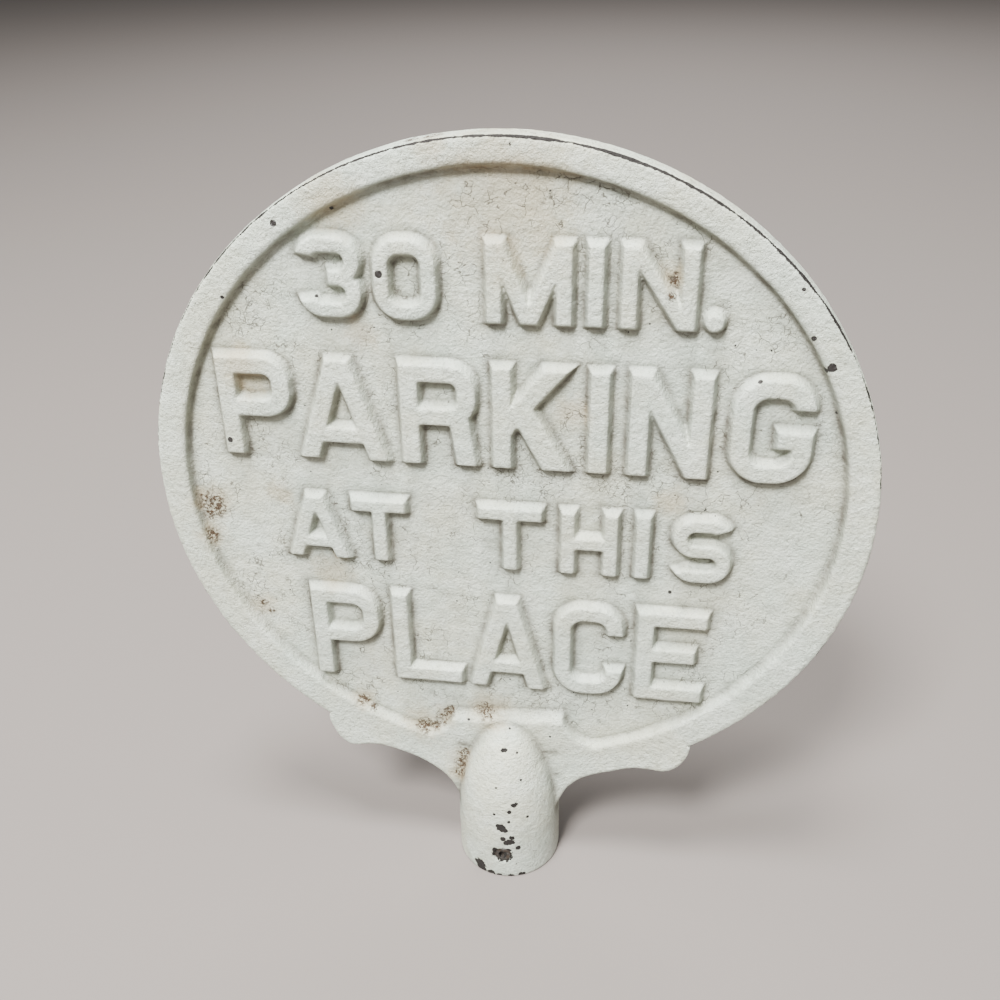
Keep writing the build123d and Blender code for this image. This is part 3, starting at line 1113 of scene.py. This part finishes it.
@dataclass
class Casting:
    """The casting's pieces, remeshed and dressed in enamel.

    Args:
        layout: the sign's sizes.
        lines: where grime, painted shade and wear gather.
        paint: the enamel.
        sink: how far a fillet's skirt lies under the surface it melts into.
    """

    layout: Layout
    lines: Lines
    paint: bpy.types.Material
    sink: float = 0.15 * MM

    def dress(self, piece: bpy.types.Object, *nodes: str) -> bpy.types.Object:
        """Paints a piece, puts it on the casting's body and hides the nodes it stands for.

        Args:
            piece: the piece.
            nodes: the CAD nodes' names.

        Returns:
            The piece.
        """
        self.lines.paint(piece)
        piece.data.materials.clear()
        piece.data.materials.append(self.paint)
        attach(piece, "sign_head")
        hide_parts(*nodes)
        log.info("%s: %d faces", piece.name, len(piece.data.polygons))
        return piece

    def field_plate(self) -> bpy.types.Object:
        """Makes the thin web that carries the letters.

        Returns:
            The piece.
        """
        skin = CastSkin(voxel=1.8 * MM, rounds=1)
        return self.dress(skin.build("field_plate_cast", [cad_copy("field_plate")]), "field_plate")

    def rim(self) -> bpy.types.Object:
        """Makes the raised ring with the two pads over the socket, flush with it.

        Returns:
            The piece.
        """
        lay = self.layout
        skirt = lay.half_web - self.sink
        into_field, into_rim = 7 * MM, 2 * MM  # how far the skirt reaches each way
        shapes = [cad_copy(name) for name in ("outer_rim", "front_boss", "rear_boss")]
        shapes.append(ring(lay.field_centre, lay.field_radius - into_field, lay.field_radius + into_rim, skirt))
        low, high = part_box("front_boss")
        under, over = 8 * MM, 3 * MM  # the skirt starts above the pads' foot and ends above their top
        shapes.append(block(Vector((low.x, -skirt, low.z + under)), Vector((high.x, skirt, high.z + over))))
        skin = CastSkin(voxel=1.3 * MM, rounds=3)
        return self.dress(skin.build("rim_cast", shapes), "outer_rim", "front_boss", "rear_boss")

    def wing(self, node: str) -> bpy.types.Object:
        """Makes one lobe of the bracket, with a tongue that runs into the rim just under its face.

        Args:
            node: left_wing or right_wing.

        Returns:
            The piece.
        """
        lay = self.layout
        tongue, below, close = 15 * MM, 0.45 * MM, 0.05 * MM
        shape = cad_copy(node)
        for corner in shape.verts:
            away = corner.co - lay.centre
            away.y = 0
            if away.length < lay.radius + close:
                corner.co -= away.normalized() * tongue
                corner.co.y = math.copysign(lay.half_rim - below, corner.co.y)
        skin = CastSkin(voxel=1.2 * MM, rounds=5)
        return self.dress(skin.build(node + "_cast", [shape]), node)

    def socket(self) -> bpy.types.Object:
        """Makes the domed barrel, filleted into the wings, the rim and the pads.

        Returns:
            The piece.
        """
        lay = self.layout
        shapes = [cad_copy("post_socket")]
        reach = lay.socket_radius + 9 * MM  # how far to each side the skirt goes
        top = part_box("post_socket")[1].z + 6 * MM
        for node in ("left_wing", "right_wing", "outer_rim", "front_boss", "rear_boss"):
            skirt = sunk_copy(node, 2 * self.sink)
            clip(skirt, Vector((reach, 0, 0)), Vector((1, 0, 0)))
            clip(skirt, Vector((-reach, 0, 0)), Vector((-1, 0, 0)))
            clip(skirt, Vector((0, 0, top)), Vector((0, 0, 1)))
            shapes.append(skirt)
        skin = CastSkin(voxel=1.1 * MM, rounds=5)
        return self.dress(skin.build("post_socket_cast", shapes), "post_socket")

    def letter(self, node: str) -> bpy.types.Object:
        """Makes one raised letter with a soft foot that melts into the field.

        Args:
            node: the letter's node.

        Returns:
            The piece.
        """
        lay = self.layout
        low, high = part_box(node)
        side = Side.FRONT if low.y < 0 else Side.REAR
        margin = 3 * MM  # how far the foot's slab reaches round the letter
        slab_face = side.value * (lay.half_web - self.sink)
        slab_back = side.value * 0.2 * MM
        slab = block(
            Vector((low.x - margin, min(slab_face, slab_back), low.z - margin)),
            Vector((high.x + margin, max(slab_face, slab_back), high.z + margin)),
        )
        skin = CastSkin(voxel=0.9 * MM, rounds=2)
        piece = skin.build(node + "_cast", [cad_copy(node), slab])
        shape = bmesh.new()
        shape.from_mesh(piece.data)
        buried = 0.45 * MM  # the letter is cut off this far under the field
        cut = Vector((0, side.value * (lay.half_web - buried), 0))
        clip(shape, cut, Vector((0, -side.value, 0)))
        shape.to_mesh(piece.data)
        shape.free()
        return self.dress(piece, node)

    def build(self) -> None:
        """Makes every piece of the casting."""
        self.field_plate()
        self.rim()
        for node in ("left_wing", "right_wing"):
            self.wing(node)
        self.socket()
        for node in self.layout.letters:
            self.letter(node)


@dataclass(frozen=True)
class Lamp:
    """A soft square lamp.

    Args:
        name: its name.
        offset: its place from the disc's centre.
        aim: what it faces, from the disc's centre.
        size: its side.
        power: its power in watts.
        tint: its colour.
    """

    name: str
    offset: tuple[float, float, float]
    aim: tuple[float, float, float]
    size: float
    power: float
    tint: tuple[float, float, float]

    def place(self, centre: Vector) -> None:
        """Puts the lamp in the scene.

        Args:
            centre: the disc's centre.
        """
        light = bpy.data.lights.new(self.name, "AREA")
        light.size = self.size
        light.energy = self.power
        light.color = self.tint
        lamp = bpy.data.objects.new(self.name, light)
        lamp.location = centre + Vector(self.offset)
        view = Vector(self.aim) - Vector(self.offset)
        lamp.rotation_euler = view.to_track_quat("-Z", "Y").to_euler()
        bpy.context.scene.collection.objects.link(lamp)


LAMPS = (
    Lamp("key", (-0.85, -2.4, 3.3), (0, 0, 0), 1.0, 530.0, (1.0, 0.995, 0.97)),
    Lamp("top", (-0.2, -0.5, 3.0), (0, 0, 0), 0.8, 200.0, (1.0, 0.995, 0.97)),
    Lamp("back", (0, 3.6, 2.6), (0, 3.6, 0), 3.0, 130.0, (1.0, 0.99, 0.98)),
)


@dataclass
class Studio:
    """The floor, the lights and the camera.

    Args:
        layout: the sign's sizes.
        camera_offset: the camera from the disc's centre, in disc radii: right, back and up.
        turn: how far the camera looks to the left of straight on, in degrees.
        tilt: how far it looks down, in degrees.
        roll: how far it leans, in degrees.
        lens: its focal length in millimetres.
        sensor: its sensor's width in millimetres.
        floor_size: half the floor's side.
        floor_colour: the floor's colour.
        floor_roughness: how dull the floor is.
        sky: the sky's colour.
        sky_strength: how bright the sky is.
    """

    layout: Layout
    camera_offset: tuple[float, float, float] = (0.3716, 2.5391, 1.5028)
    turn: float = 8.70
    tilt: float = 30.29
    roll: float = -0.86
    lens: float = 38.16
    sensor: float = 36.0
    floor_size: float = 9.0
    floor_colour: Colour = (0.205, 0.181, 0.168, 1.0)
    floor_roughness: float = 0.8
    sky: Colour = (1.0, 0.99, 0.975, 1.0)
    sky_strength: float = 0.13

    def floor(self) -> None:
        """A plain pale floor, stage only."""
        shape = bmesh.new()
        bmesh.ops.create_grid(shape, x_segments=1, y_segments=1, size=self.floor_size)
        mesh = bpy.data.meshes.new("floor")
        shape.to_mesh(mesh)
        shape.free()
        floor = bpy.data.objects.new("floor", mesh)
        bpy.context.scene.collection.objects.link(floor)
        material = bpy.data.materials.new("pale_floor")
        material.use_nodes = True
        shader = material.node_tree.nodes["Principled BSDF"]
        shader.inputs["Base Color"].default_value = self.floor_colour
        shader.inputs["Roughness"].default_value = self.floor_roughness
        mesh.materials.append(material)

    def lights(self) -> None:
        """A soft key from the upper left, a lamp overhead, one over the floor behind and an even sky."""
        for lamp in LAMPS:
            lamp.place(self.layout.centre)
        world = bpy.data.worlds.new("sky")
        world.use_nodes = True
        sky = world.node_tree.nodes["Background"]
        sky.inputs["Color"].default_value = self.sky
        sky.inputs["Strength"].default_value = self.sky_strength
        bpy.context.scene.world = world

    def camera(self) -> None:
        """The camera, looking down on the sign from a little to its right."""
        lens = bpy.data.cameras.new("camera")
        lens.lens = self.lens
        lens.sensor_width = self.sensor
        camera = bpy.data.objects.new("camera", lens)
        right, back, up = self.camera_offset
        place = self.layout.centre + Vector((right, -back, up)) * self.layout.radius
        turn = Matrix.Rotation(math.radians(self.turn), 4, "Z")
        tilt = Matrix.Rotation(math.radians(90 - self.tilt), 4, "X")
        roll = Matrix.Rotation(math.radians(self.roll), 4, "Z")
        camera.matrix_world = Matrix.Translation(place) @ turn @ tilt @ roll
        bpy.context.scene.collection.objects.link(camera)
        bpy.context.scene.camera = camera

    def build(self) -> None:
        """Sets the whole stage."""
        self.floor()
        self.lights()
        self.camera()


def main() -> None:
    """Builds the sign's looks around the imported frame, in order."""
    logging.basicConfig(level=logging.INFO, format="%(name)s: %(message)s")
    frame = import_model()
    layout = Layout.from_frame(frame)
    Studio(layout).build()
    lines = Lines(layout)
    lines.gather()
    Casting(layout, lines, Enamel().build(layout)).build()
    screw = frame["nodes"]["set_screw"]
    screw.data.materials.clear()
    screw.data.materials.append(DarkSteel().build())


if __name__ == "__main__":
    main()
